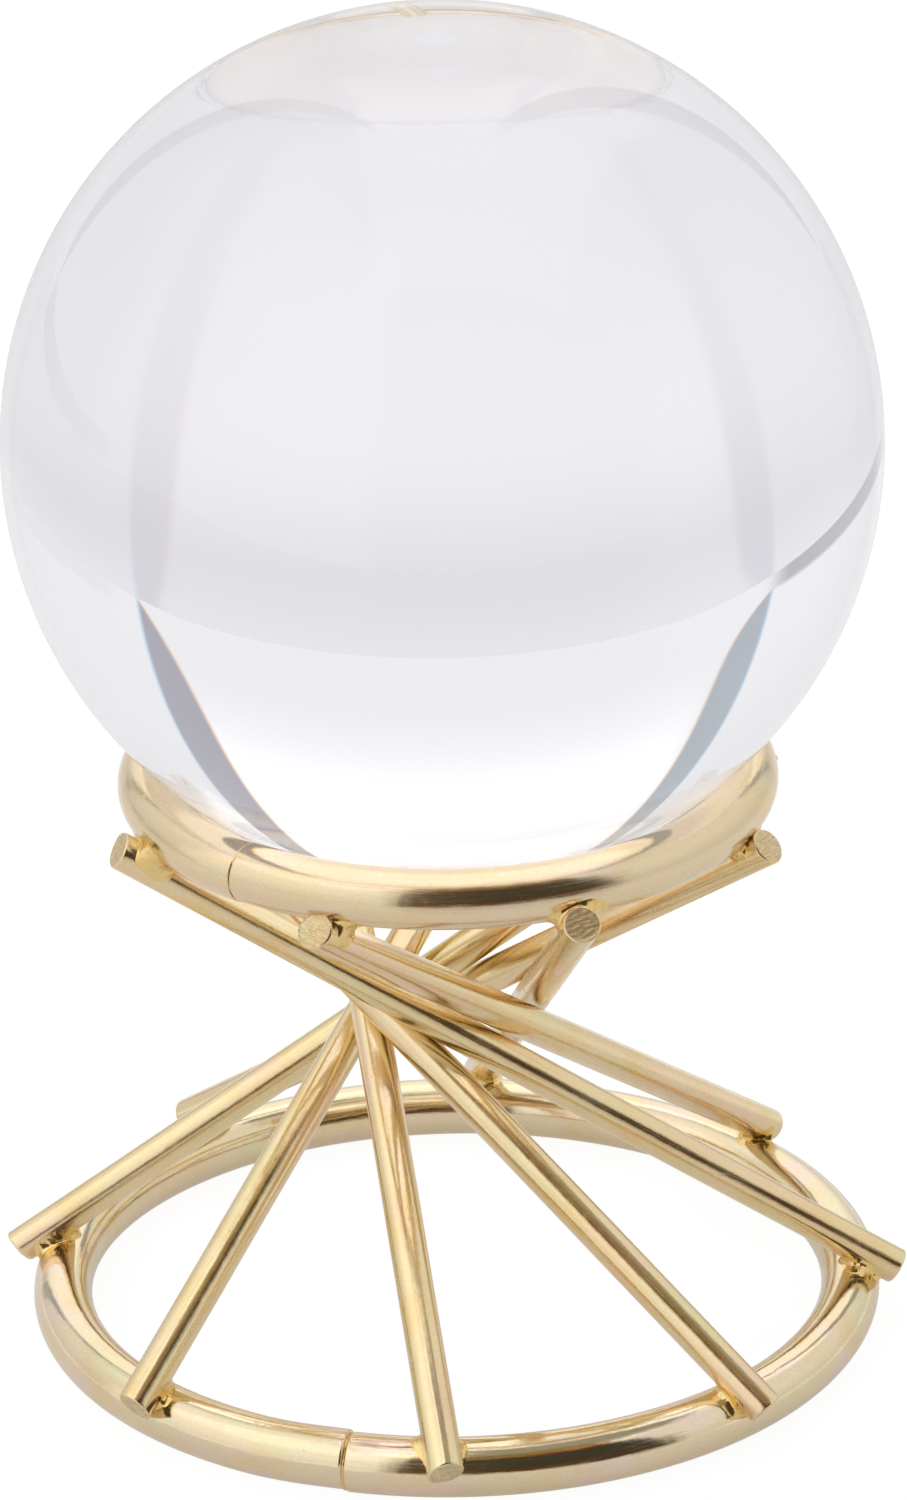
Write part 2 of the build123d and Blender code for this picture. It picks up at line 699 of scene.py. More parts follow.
def square_to(direction: Array) -> tuple[Array, Array]:
    """Two unit vectors square to a direction and to each other.

    Args:
        direction: a unit vector.

    Returns:
        The level one and the other.
    """
    level = np.cross(direction, (0.0, 0.0, 1.0))
    level /= np.linalg.norm(level)
    return level, np.cross(level, direction)


@dataclass
class Skin:
    """A closed surface on a grid: rows run from pole to pole and columns run round.

    Attributes:
        points: rows x columns x 3; the first and the last row are each one repeated point.
        wire: the same grid in the wire's own straightened space, in millimetres.
        heat: rows x columns, how near a weld each point is, 0 to 1.
        cut: rows x columns, 1 on a sheared face and 0 elsewhere.
    """

    points: Array
    wire: Optional[Array] = None
    heat: Optional[Array] = None
    cut: Optional[Array] = None

    def _packed(self, grid: Array) -> Array:
        """The grid as a list with each pole once: first pole, rows between, last pole.

        Args:
            grid: rows x columns, of numbers or of vectors.

        Returns:
            One row of numbers for each vertex.
        """
        flat = grid.reshape(grid.shape[0], grid.shape[1], -1)
        between = flat[1:-1].reshape(-1, flat.shape[2])
        return np.concatenate((flat[:1, 0], between, flat[-1:, 0]))

    def _faces(self) -> tuple[Array, Array]:
        """The faces of the grid.

        Returns:
            The fans at the poles as triangles, and the rest as four-sided faces.
        """
        rows, columns = self.points.shape[0] - 2, self.points.shape[1]
        ring = np.arange(columns)
        ahead = np.roll(ring, -1)
        start = 1 + np.arange(rows - 1)[:, None] * columns
        below = start + columns
        quads = np.stack((start + ring, start + ahead, below + ahead, below + ring), axis=-1)
        last = 1 + (rows - 1) * columns
        top = np.stack((np.zeros_like(ring), ahead + 1, ring + 1), axis=-1)
        end = np.stack((np.full_like(ring, last + columns), last + ring, last + ahead), axis=-1)
        return np.concatenate((top, end)), quads.reshape(-1, 4)

    def mesh(self, name: str) -> bpy.types.Mesh:
        """Makes the mesh, with its faces outwards and its attributes.

        Args:
            name: the mesh's name.

        Returns:
            The mesh.
        """
        triangles, quads = self._faces()
        points = self._packed(self.points)
        corners = points[quads]
        across = np.cross(corners[:, 2] - corners[:, 0], corners[:, 3] - corners[:, 1])
        inside_out = np.einsum("ij,ij->", across, corners.mean(axis=1) - points.mean(axis=0)) < 0
        if inside_out:
            triangles, quads = triangles[:, ::-1], quads[:, ::-1]
        made = bpy.data.meshes.new(name)
        made.from_pydata(points.tolist(), [], triangles.tolist() + quads.tolist())
        if self.wire is not None:
            space = made.attributes.new(WIRE_SPACE, "FLOAT_VECTOR", "POINT")
            space.data.foreach_set("vector", self._packed(self.wire).astype(np.float32).ravel())
        for name_of, grid in ((HEAT, self.heat), (CUT, self.cut)):
            if grid is not None:
                shares = made.attributes.new(name_of, "FLOAT", "POINT")
                shares.data.foreach_set("value", self._packed(grid).astype(np.float32).ravel())
        made.shade_smooth()
        return made


def add_piece(mesh: bpy.types.Mesh, material: bpy.types.Material) -> bpy.types.Object:
    """Puts a mesh in the scene at the origin, with one material.

    Args:
        mesh: the mesh, already in place in the row frame.
        material: its finish.

    Returns:
        The new object.
    """
    piece = bpy.data.objects.new(mesh.name, mesh)
    bpy.context.scene.collection.objects.link(piece)
    piece.data.materials.append(material)
    return piece


def place_piece(
    mesh: bpy.types.Mesh, material: bpy.types.Material, body: str, node: str
) -> bpy.types.Object:
    """Puts a mesh on a body in place of a CAD node.

    Args:
        mesh: the piece's mesh.
        material: its finish.
        body: the body that it rides on.
        node: the CAD node that it stands for.

    Returns:
        The new object.
    """
    piece = add_piece(mesh, material)
    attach(piece, body)
    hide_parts(node)
    log.info("%s stands for %s, %d faces", piece.name, node, len(mesh.polygons))
    return piece


def heat_at(points: Array, welds: Array, reach: float = 4.5 * MM) -> Array:
    """How much the welds have warmed each point: the sum of exp(-(distance / reach)^2), at most 1.

    Args:
        points: a grid of places.
        welds: the places of the welds, one a row.
        reach: how far the warmth spreads.

    Returns:
        0 to 1 for each place.
    """
    total = np.zeros(points.shape[:-1])
    for weld in welds:
        total += np.exp(-(np.linalg.norm(points - weld, axis=-1) / reach) ** 2)
    return np.minimum(total, 1.0)


# ------------------------------------------------------------------------------------------------
# What the frame says
# ------------------------------------------------------------------------------------------------


def node_points(node: str) -> Array:
    """The different vertices of a CAD node.

    Args:
        node: the node's name.

    Returns:
        The vertices, one a row.
    """
    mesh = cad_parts[node].data
    flat = np.empty(len(mesh.vertices) * 3, np.float32)
    mesh.vertices.foreach_get("co", flat)
    return np.unique(flat.reshape(-1, 3).astype(float).round(7), axis=0)


def face_normals(node: str) -> tuple[Array, Array]:
    """The way that a CAD node's faces point.

    Args:
        node: the node's name.

    Returns:
        The unit normals, one a row, and the areas.
    """
    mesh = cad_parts[node].data
    normals = np.empty(len(mesh.polygons) * 3, np.float32)
    areas = np.empty(len(mesh.polygons), np.float32)
    mesh.polygons.foreach_get("normal", normals)
    mesh.polygons.foreach_get("area", areas)
    return normals.reshape(-1, 3).astype(float), areas.astype(float)


@dataclass
class RingFrame:
    """Where a ring lies.

    Attributes:
        node: its CAD node.
        radius: the radius of its centreline.
        height: the height of its centreline.
        wire: the radius of its wire.
        seam: the angle of its seam.
    """

    node: str
    radius: float = field(init=False)
    height: float = field(init=False)
    wire: float = field(init=False)
    seam: float = field(init=False)

    def __post_init__(self) -> None:
        """Reads the ring's radius, height and wire from its box, and its seam from the seam's box."""
        low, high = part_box(self.node)
        self.wire = (high.z - low.z) / 2
        self.height = (high.z + low.z) / 2
        self.radius = (high.x - low.x) / 2 - self.wire
        low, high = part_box(f"{self.node}_seam")
        self.seam = math.atan2(low.y + high.y, low.x + high.x)

    def gap(self, points: Array) -> Array:
        """How far each point is outside the wire: the distance to a circle, less its radius."""
        out = np.hypot(points[..., 0], points[..., 1]) - self.radius
        return np.hypot(out, points[..., 2] - self.height) - self.wire

    def nearest(self, point: Array) -> Array:
        """The point of the ring's centreline nearest to a point."""
        flat = math.hypot(point[0], point[1])
        return np.array((point[0] / flat * self.radius, point[1] / flat * self.radius, self.height))


@dataclass
class RodFrame:
    """Where a rod lies.

    Attributes:
        node: its CAD node.
        facing: the least cosine between the rod and the normal of a face that counts as an end.
        start: the lower end of its axis.
        end: the upper end of its axis.
        radius: the radius of its wire.
    """

    node: str
    facing: float = 0.97
    start: Array = field(init=False)
    end: Array = field(init=False)
    radius: float = field(init=False)

    def __post_init__(self) -> None:
        """Reads the axis, the ends and the radius from the CAD rod.

        The axis is square to the end faces, whose normals lie nearest to the rod's longest
        direction. It passes through the middle of the rod's outline seen from its end: in each
        direction across, the outline's two extremes are as far from it on both sides.
        """
        points = node_points(self.node)
        along = np.linalg.svd(points - points.mean(axis=0))[2][0]
        normals, areas = face_normals(self.node)
        lean = normals @ along
        ends = np.abs(lean) > self.facing
        along = (normals[ends] * (areas[ends] * np.sign(lean[ends]))[:, None]).sum(axis=0)
        along *= math.copysign(1, along[2]) / np.linalg.norm(along)
        first, second = square_to(along)
        turn = np.linspace(0, math.pi, 90, endpoint=False)
        across = np.cos(turn)[:, None] * first + np.sin(turn)[:, None] * second
        reach = points @ across.T
        middle = np.linalg.lstsq(across, (reach.max(axis=0) + reach.min(axis=0)) / 2, rcond=None)[0]
        self.radius = float((reach.max(axis=0) - reach.min(axis=0)).max() / 2)
        heights = points @ along
        self.start = middle + along * (heights.min() - middle @ along)
        self.end = middle + along * (heights.max() - middle @ along)

    @property
    def along(self) -> Array:
        """The unit vector up the rod."""
        return (self.end - self.start) / np.linalg.norm(self.end - self.start)

    @property
    def length(self) -> float:
        """The length of the rod."""
        return float(np.linalg.norm(self.end - self.start))

    def gap(self, points: Array) -> Array:
        """How far each point is outside the rod: the greater of its distance from the round side
        and from the nearer end face.

        Args:
            points: places.

        Returns:
            Metres, negative inside.
        """
        away = points - self.start
        reach = away @ self.along
        aside = np.linalg.norm(away - reach[..., None] * self.along, axis=-1) - self.radius
        return np.maximum(aside, np.abs(reach - self.length / 2) - self.length / 2)

    def contact(self, ring: RingFrame) -> Array:
        """The middle of the weld with a ring: the point of the axis nearest to the ring's
        centreline, moved towards it to halfway between the two skins.

        Args:
            ring: the ring that the rod lies on.

        Returns:
            The place.
        """
        places = self.start + np.linspace(0, self.length, 4001)[:, None] * self.along
        nearest = places[ring.gap(places).argmin()]
        centre = ring.nearest(nearest)
        apart = nearest - centre
        distance = np.linalg.norm(apart)
        return centre + apart / distance * (distance + ring.wire - self.radius) / 2


# ------------------------------------------------------------------------------------------------
# The pieces
# ------------------------------------------------------------------------------------------------


@dataclass
class Ring:
    """One turn of thick wire, bent by hand until its two sheared ends meet.

    Attributes:
        place: where the ring lies.
        name: the piece's name.
        step: how far the last end stands out of line with the first, outwards and upwards.
        gap: the width of the open seam.
        edge: the radius that the ends are rounded to.
        bent: how long the stretch is that bends out of line.
        wobble: how far the bending leaves the ring from a true circle.
        rows: grid rows along the wire.
        columns: grid columns round the wire.
    """

    place: RingFrame
    name: str
    step: tuple[float, float]
    gap: float
    edge: float
    bent: float = 9 * MM
    wobble: float = 0.02 * MM
    rows: int = 720
    columns: int = 64

    def skin(self, welds: Array) -> Skin:
        """A circle carried round the ring. Its radius follows a quarter circle at each end, so the
        ends are rounded, and the last stretch bends out of line by the step.

        Args:
            welds: the places of the welds on this ring.

        Returns:
            The surface.
        """
        ring = self.place
        length = 2 * math.pi * ring.radius - self.gap
        corner = self.edge * (1 - np.cos(np.linspace(0, math.pi / 2, 9)))
        run = np.linspace(self.edge, length - self.edge, self.rows)
        s = np.concatenate((corner[:-1], run, (length - corner[:-1])[::-1]))
        from_end = np.minimum(s, length - s)
        dip = np.clip(self.edge - from_end, 0, self.edge)
        thick = ring.wire - self.edge + np.sqrt(self.edge**2 - dip**2)
        side = (s > length / 2) * (1 - smooth_step(from_end, 0, self.bent))
        s = np.concatenate((s[:1], s, s[-1:]))
        thick = np.concatenate(([0.0], thick, [0.0]))
        side = np.concatenate((side[:1], side, side[-1:]))
        around = np.linspace(0, 2 * math.pi, self.columns, endpoint=False)
        turn = ring.seam + (s + self.gap / 2) / ring.radius
        centre = np.stack((np.cos(turn), np.sin(turn)), axis=-1)
        wobble = self.wobble * waves(centre, 0.9, 5)
        across = thick[:, None] * np.cos(around)
        above = thick[:, None] * np.sin(around)
        out = ring.radius + wobble[:, None] + across + (side * self.step[0])[:, None]
        up = ring.height + above + (side * self.step[1])[:, None]
        points = np.stack((out * centre[:, :1], out * centre[:, 1:], up), axis=-1)
        wire = np.stack((across, above, np.broadcast_to(s[:, None], across.shape)), axis=-1) / MM
        return Skin(points, wire, heat_at(points, welds))


@dataclass
class Seam:
    """The thin fin of weld in a ring's butt joint.

    Attributes:
        place: the ring that it closes.
        name: the piece's name.
        seed: which uneven edge it has.
        width: its width along the wire.
        proud: how far its lip wanders in and out.
        below: how far the middle of that lies below the skin of the wire.
        sway: how far the whole fin sways along the wire.
        heat: how much heat its finish shows, 0 to 1.
        rows: grid rows across the rim.
        columns: grid columns round the wire.
    """

    place: RingFrame
    name: str
    seed: int
    width: float = 0.34 * MM
    proud: float = 0.13 * MM
    below: float = 0.10 * MM
    sway: float = 0.05 * MM
    heat: float = 0.35
    rows: int = 13
    columns: int = 160

    def skin(self) -> Skin:
        """A flat drum across the joint, whose rim is a half circle and whose radius wanders round
        the wire between a little below the skin and a little proud of it.

        Returns:
            The surface.
        """
        ring = self.place
        tilt = np.linspace(-math.pi / 2, math.pi / 2, self.rows)
        around = np.linspace(0, 2 * math.pi, self.columns, endpoint=False)
        circle = np.stack((np.cos(around), np.sin(around)), axis=-1)
        rim = waves(circle, 1.1, self.seed) * 0.7 + waves(circle, 0.35, self.seed + 1) * 0.4
        reach = ring.wire + self.proud * np.clip(rim, -1.0, 1.0) - self.below
        half = self.width / 2
        thick = reach[None, :] - half * (1 - np.cos(tilt))[:, None]
        s = np.broadcast_to((half * np.sin(tilt))[:, None], thick.shape)
        pole = np.zeros((1, self.columns))
        thick = np.concatenate((pole, thick, pole))
        sway = self.sway * waves(circle, 0.8, self.seed + 2)[None, :] * (thick > 0)
        s = np.concatenate((s[:1], s, s[-1:])) + sway
        turn = ring.seam + s / ring.radius
        out = ring.radius + thick * np.cos(around)
        up = ring.height + thick * np.sin(around)
        points = np.stack((out * np.cos(turn), out * np.sin(turn), up), axis=-1)
        points[0] = points[0].mean(axis=0)
        points[-1] = points[-1].mean(axis=0)
        return Skin(points, points / MM, np.full(thick.shape, self.heat))


@dataclass
class Rod:
    """A straight length of drawn wire, sheared off at both ends.

    Attributes:
        place: where the rod lies.
        name: the piece's name.
        seed: which cuts it has.
        edge: the radius that the shear leaves on the rim.
        slant: how far the cut faces lean, as rise over run.
        burr: the height of the burr on the far side of the cut.
        ridge: the height of the ridges on the cut.
        ridge_apart: the distance from one ridge to the next, in millimetres.
        pit: the depth of the pits on the cut.
        bent: how much of the rod's end the slant of the cut bends with it.
        wander: how far the wire's radius wanders, as a share of it.
        rows: grid rows along the wire.
        columns: grid columns round the wire.
    """

    place: RodFrame
    name: str
    seed: int
    edge: float = 0.20 * MM
    slant: float = 0.12
    burr: float = 0.09 * MM
    ridge: float = 0.008 * MM
    ridge_apart: float = 0.45
    pit: float = 0.012 * MM
    bent: float = 1.2 * MM
    wander: float = 0.006
    rows: int = 260
    columns: int = 72

    def _cap(self, radii: Array, around: Array, which: int) -> Array:
        """The relief of a sheared face, measured out of the rod.

        The face leans to one side by the slant. Across the lean run ridges, a cosine of the distance
        that waves bend a little, and on the high side the rim carries a burr.

        Args:
            radii: the distance of each row from the axis.
            around: the angle of each column.
            which: 0 for the lower end and 1 for the upper.

        Returns:
            The relief of each grid point.
        """
        lean = np.random.default_rng(self.seed * 2 + which).uniform(0, 2 * math.pi)
        x = radii[:, None] * np.cos(around - lean) / MM
        y = radii[:, None] * np.sin(around - lean) / MM
        flat = np.stack((x, y), axis=-1)
        ridges = np.cos(2 * math.pi * x / self.ridge_apart + 2.0 * waves(flat, 2.2, self.seed))
        pits = waves(flat, 0.9, self.seed + 7)
        full = self.place.radius / MM
        out = np.hypot(x, y)
        lip = smooth_step(x, 0.45 * full, full) * smooth_step(out, 0.80 * full, 0.93 * full)
        rough = (ridges * self.ridge + pits * self.pit) * smooth_step(full - out, 0.0, 0.25)
        return self.slant * x * MM + rough + self.burr * lip

    def skin(self, welds: Array) -> Skin:
        """A circle carried along the rod, from the middle of one cut face over its rounded rim and
        along the wire to the middle of the other. The wire's radius wanders by waves.

        Args:
            welds: the places of the welds on this rod.

        Returns:
            The surface.
        """
        rod = self.place
        quarter = np.linspace(0, math.pi / 2, 8)
        face = np.linspace(0, rod.radius - self.edge, 16)
        rim = rod.radius - self.edge + self.edge * np.sin(quarter[1:])
        inwards = self.edge * (1 - np.cos(quarter[1:]))
        along = np.linspace(self.edge, rod.length - self.edge, self.rows)[1:-1]
        radii = np.concatenate((face, rim, np.full(len(along), rod.radius), rim[::-1], face[::-1]))
        flat_face = np.zeros(len(face))
        s = np.concatenate((flat_face, inwards, along, rod.length - inwards[::-1], rod.length - flat_face))
        around = np.linspace(0, 2 * math.pi, self.columns, endpoint=False)
        circle = np.stack((np.cos(around), np.sin(around)), axis=-1)
        near_start = 1 - smooth_step(s, 0, self.bent)
        near_end = 1 - smooth_step(rod.length - s, 0, self.bent)
        s = s[:, None] - near_start[:, None] * self._cap(radii, around, 0)
        s += near_end[:, None] * self._cap(radii, around, 1)
        circles = np.broadcast_to(circle, (*s.shape, 2))
        place = np.concatenate((circles * 0.8, s[..., None] / (9 * MM)), axis=-1)
        wander = 1 + self.wander * waves(place, 2.4, self.seed)
        first, second = square_to(rod.along)
        ring = radii[:, None, None] * wander[..., None] * (circle[:, :1] * first + circle[:, 1:] * second)
        points = rod.start + s[..., None] * rod.along + ring
        points[0] = points[0].mean(axis=0)
        points[-1] = points[-1].mean(axis=0)
        flat = radii[:, None, None] * circle / MM
        own_place = np.array((0, 0, OWN_PATTERN * self.seed))
        wire = np.concatenate((flat, s[..., None] / MM), axis=-1) + own_place
        sheared = (radii[:, None] < rod.radius - 0.6 * self.edge) * np.ones(self.columns)
        return Skin(points, wire, heat_at(points, welds), sheared)


@dataclass
class WeldBead:
    """A small crinkled bead of metal in the corner between a rod and a ring.

    Attributes:
        ring: the ring.
        rod: the rod.
        name: the piece's name.
        seed: which crinkles it has.
        fill: the width of the corner that the bead fills.
        uneven: how much that width varies round the bead, as a share of it.
        reach: how far it goes from its middle.
        crinkle: the height of its folds.
        sunk: how far its thin rim lies below the skin of the wires.
        short: how far it stays from the rod's end.
        thin: over what stretch from the rod's end it grows to its full width.
        heat: how much amber its finish shows, 0 to 1, as weld heat tint and painted reflection of the
            corner.
        steps: how many places along each direction are tried first.
        halvings: how many times the step that leaves the metal is then halved.
        rows: grid rows from pole to pole.
        columns: grid columns round it.
    """

    ring: RingFrame
    rod: RodFrame
    name: str
    seed: int
    fill: float
    uneven: float = 0.45
    reach: float = 3.3 * MM
    crinkle: float = 0.055 * MM
    sunk: float = 0.03 * MM
    short: float = 0.45 * MM
    thin: Limits = (0.5 * MM, 1.6 * MM)
    heat: float = 0.80
    steps: int = 48
    halvings: int = 14
    rows: int = 72
    columns: int = 120

    def _outside(self, points: Array, spread: Array) -> Array:
        """How far each point is outside the bead and the wires together.

        It is the smooth least of the two wires' gaps: their least, less h^2 k / 4, where k is the
        width filled and h is how nearly equal the gaps are. The width falls to nothing towards the
        rod's end, and folds are taken off where h is large.

        Args:
            points: places.
            spread: the unevenness of the fill in that direction, about -1 to 1.

        Returns:
            Metres, negative inside.
        """
        half = self.rod.length / 2
        from_end = half - np.abs((points - self.rod.start) @ self.rod.along - half)
        a = self.ring.gap(points)
        b = np.maximum(self.rod.gap(points), self.short - from_end)
        k = self.fill * (1 + self.uneven * spread) * smooth_step(from_end, *self.thin) + TINY
        h = np.clip(1 - np.abs(a - b) / k, 0, 1)
        folds = waves(points, 1.3 * MM, self.seed) * 0.8 + waves(points, 0.55 * MM, self.seed + 1) * 0.3
        return np.minimum(a, b) - h * h * k / 4 + self.sunk - self.crinkle * folds * h

    def skin(self) -> Skin:
        """A sphere of directions round the middle of the weld, each followed outwards to the place
        where it leaves the metal, or to the reach where it stays inside a wire.

        Returns:
            The surface.
        """
        middle = self.rod.contact(self.ring)
        tilt = np.linspace(0, math.pi, self.rows)[:, None]
        around = np.linspace(0, 2 * math.pi, self.columns, endpoint=False)[None, :]
        axis = self.ring.nearest(middle) - middle
        axis /= np.linalg.norm(axis)
        first, second = square_to(axis)
        flat = np.cos(around)[..., None] * first + np.sin(around)[..., None] * second
        rays = np.sin(tilt)[..., None] * flat + np.cos(tilt)[..., None] * axis
        spread = waves(rays, 1.7, self.seed + 2)
        low = np.zeros(spread.shape)
        high = np.full(spread.shape, self.reach)
        found = np.zeros(spread.shape, bool)
        for distance in np.linspace(0, self.reach, self.steps)[1:]:
            out = self._outside(middle + distance * rays, spread) > 0
            high = np.where(out & ~found, distance, high)
            found |= out
            low = np.where(found, low, distance)
        for _ in range(self.halvings):
            half = (low + high) / 2
            out = self._outside(middle + half[..., None] * rays, spread) > 0
            low, high = np.where(out, low, half), np.where(out, half, high)
        points = middle + ((low + high) / 2)[..., None] * rays
        return Skin(points, points / MM, np.full(spread.shape, self.heat))


@dataclass
class GlassBall:
    """The glass ball, which rests in the upper ring.

    Attributes:
        node: its CAD node.
        name: the piece's name.
        side: grid squares along each side of the cube that it is made from.
    """

    node: str = "crystal_ball"
    name: str = "Glass_ball"
    side: int = 120

    def mesh(self) -> bpy.types.Mesh:
        """A cube's six faces drawn out to the sphere: a grid point at (a, b) on a face, both from
        -45 to 45 degrees, lies towards (tan a, tan b, 1), and every point is brought to the radius.

        Returns:
            The mesh.
        """
        low, high = (np.array(corner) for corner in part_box(self.node))
        radius = (high[2] - low[2]) / 2
        count = self.side + 1
        spread = np.tan(np.linspace(-math.pi / 4, math.pi / 4, count))
        a, b = np.meshgrid(spread, spread, indexing="ij")
        face = np.stack((a, b, np.ones_like(a)), axis=-1).reshape(-1, 3)
        sides = [np.roll(face, turn, axis=1) for turn in range(3)]
        cube = np.concatenate(sides + [-side for side in sides])
        index = np.arange(count**2).reshape(count, count)
        corners = (index[:-1, :-1], index[1:, :-1], index[1:, 1:], index[:-1, 1:])
        quads = np.stack(corners, axis=-1).reshape(-1, 4)
        faces = np.concatenate([quads + len(face) * number for number in range(6)])
        unit = cube / np.linalg.norm(cube, axis=1, keepdims=True)
        unit, where = np.unique(unit.round(9), axis=0, return_inverse=True)
        faces = where.reshape(-1)[faces]
        around = unit[faces]
        across = np.cross(around[:, 2] - around[:, 0], around[:, 3] - around[:, 1])
        inwards = np.einsum("ij,ij->i", across, around[:, 0]) < 0
        faces[inwards] = faces[inwards][:, ::-1]
        made = bpy.data.meshes.new(self.name)
        made.from_pydata(((low + high) / 2 + unit * radius).tolist(), [], faces.tolist())
        made.shade_smooth()
        return made

    def build(self, ring: RingFrame) -> None:
        """Builds the ball.

        Args:
            ring: the ring that it rests in, which says where the glass is rubbed.
        """
        low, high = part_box(self.node)
        centre = (low.z + high.z) / 2
        radius = (high.z - low.z) / 2
        slope = math.atan2(ring.radius, centre - ring.height)
        glass = CrystalGlass("crystal_glass", rub_height=centre - radius * math.cos(slope))
        piece = place_piece(self.mesh(), glass.material(), BALL_BODY, self.node)
        piece.visible_shadow = False


# ------------------------------------------------------------------------------------------------
# The stand
# ------------------------------------------------------------------------------------------------


@dataclass(frozen=True)
class Level:
    """What is particular to the lower or to the upper ring and its welds.

    Attributes:
        name: what the pieces' names start with.
        plate: the ring's finish.
        step: how far the ring's last end stands out of line, outwards and upwards.
        gap: the width of its open seam.
        edge: the radius that its ends are rounded to.
        seam_seed: which uneven edge its seam has.
        bead_seed: which crinkles its beads have.
        fill: the width of the corner that each bead fills.
    """

    name: str
    plate: GoldPlate
    step: tuple[float, float]
    gap: float
    edge: float
    seam_seed: int
    bead_seed: int
    fill: float


LOWER = Level(
    "lower",
    GoldPlate(
        "lower_ring_gold",
        pale=(0.83, 0.69, 0.465),
        deep=(0.80, 0.60, 0.30),
        blush=(0.85, 0.67, 0.56),
        olive=(0.76, 0.71, 0.44),
        tint=0.8,
        roughness=0.085,
        streak_roughness=0.17,
        streak_depth=0.005 * MM,
    ),
    step=(0.06 * MM, 0.24 * MM),
    gap=0.16 * MM,
    edge=0.24 * MM,
    seam_seed=31,
    bead_seed=100,
    fill=1.3 * MM,
)

UPPER = Level(
    "upper",
    GoldPlate(
        "upper_ring_gold",
        pale=(0.805, 0.645, 0.42),
        tint=0.45,
        roughness=0.165,
        streak_roughness=0.13,
    ),
    step=(0.08 * MM, -0.05 * MM),
    gap=0.08 * MM,
    edge=0.09 * MM,
    seam_seed=47,
    bead_seed=200,
    fill=1.9 * MM,
)

ROD_PLATE = GoldPlate(
    "rod_gold",
    pale=(0.84, 0.675, 0.405),
    deep=(0.82, 0.58, 0.23),
    blush=(0.86, 0.63, 0.44),
    olive=(0.78, 0.71, 0.40),
    tint=0.6,
    roughness=0.155,
    grain_depth=0.005 * MM,
)

# Weld metal, partly painted reflection: its deep amber colours stand for the gold-on-gold reflection and
# shade in the corner between rod and ring, laid over the weld metal's own colour. The seam fins share this
# finish.
WELD_GOLD_WITH_PAINTED_REFLECTION = GoldPlate(
    "weld_gold_painted_reflection",
    pale=(0.83, 0.61, 0.25),
    deep=(0.75, 0.45, 0.07),
    weld_amber=(0.78, 0.52, 0.12),
    tint=0.10,
    roughness=0.12,
    grain_depth=0.006 * MM,
)


@dataclass
class Stand:
    """The welded wire stand.

    Attributes:
        rod_count: how many rods it has.
        levels: its lower and its upper ring.
        rings: where the two rings lie.
        rods: where the rods lie.
    """

    rod_count: int = 8
    levels: tuple[Level, Level] = (LOWER, UPPER)
    rings: list[RingFrame] = field(init=False)
    rods: list[RodFrame] = field(init=False)

    def __post_init__(self) -> None:
        """Reads the places of the rings and rods."""
        self.rings = [RingFrame(f"{level.name}_ring") for level in self.levels]
        self.rods = [RodFrame(f"rod_{number + 1}") for number in range(self.rod_count)]

    @property
    def upper_ring(self) -> RingFrame:
        """Where the upper ring lies."""
        return self.rings[-1]

    def _rings(self, finish: bpy.types.Material) -> None:
        """Builds the rings and the seams that close them.

        Args:
            finish: the material of the seams.
        """
        for level, place in zip(self.levels, self.rings):
            welds = np.array([rod.contact(place) for rod in self.rods])
            name = f"{level.name.capitalize()}_ring_wire"
            ring = Ring(place, name, level.step, level.gap, level.edge)
            mesh = ring.skin(welds).mesh(name)
            place_piece(mesh, level.plate.material(), STAND_BODY, place.node)
        for level, place in zip(self.levels, self.rings):
            seam = Seam(place, f"{level.name.capitalize()}_ring_seam_weld", level.seam_seed)
            mesh = seam.skin().mesh(seam.name)
            place_piece(mesh, finish, STAND_BODY, f"{place.node}_seam")

    def _rod(self, number: int, finish: bpy.types.Material, weld_finish: bpy.types.Material) -> None:
        """Builds one rod and its two welds.

        Args:
            number: the rod's number, from 1.
            finish: the material of the rods.
            weld_finish: the material of the welds.
        """
        place = self.rods[number - 1]
        rod = Rod(place, f"Rod_{number}_wire", seed=number)
        welds = np.array([place.contact(ring) for ring in self.rings])
        mesh = rod.skin(welds).mesh(rod.name)
        place_piece(mesh, finish, STAND_BODY, place.node)
        for level, ring in zip(self.levels, self.rings):
            name = f"{level.name.capitalize()}_bead_{number}"
            bead = WeldBead(ring, place, name, level.bead_seed + number * BEAD_SEEDS, level.fill)
            mesh = bead.skin().mesh(name)
            place_piece(mesh, weld_finish, STAND_BODY, f"{level.name}_weld_{number}")

    def build(self) -> None:
        """Builds the rings, their seams, the rods and the welds."""
        rod_finish = ROD_PLATE.material()
        weld_finish = WELD_GOLD_WITH_PAINTED_REFLECTION.material()
        self._rings(weld_finish)
        for number in range(1, self.rod_count + 1):
            self._rod(number, rod_finish, weld_finish)


# ------------------------------------------------------------------------------------------------
# Studio
# ------------------------------------------------------------------------------------------------


class Way:
    """The direction of a ray, as numbers in the world's shader. Angles are in degrees."""

    def __init__(self, tree: ShaderTree) -> None:
        """Works out the angles.

        Args:
            tree: the world's tree.
        """
        direction = tree.node("ShaderNodeTexCoord").outputs["Generated"]
        parts = tree.node("ShaderNodeSeparateXYZ", {}, {0: direction})
        self.x, self.y, self.z = (Value(tree, parts.outputs[axis]) for axis in ("X", "Y", "Z"))
        degrees = 180 / math.pi
        self.azimuth = self.x.math("ARCTAN2", self.y) * degrees
        self.from_camera = self.x.math("ARCTAN2", self.y * -1.0) * degrees
        self.elevation = self.z.math("ARCSINE") * degrees
        self.mirrored = Value(tree, tree.node("ShaderNodeLightPath").outputs["Is Singular Ray"])


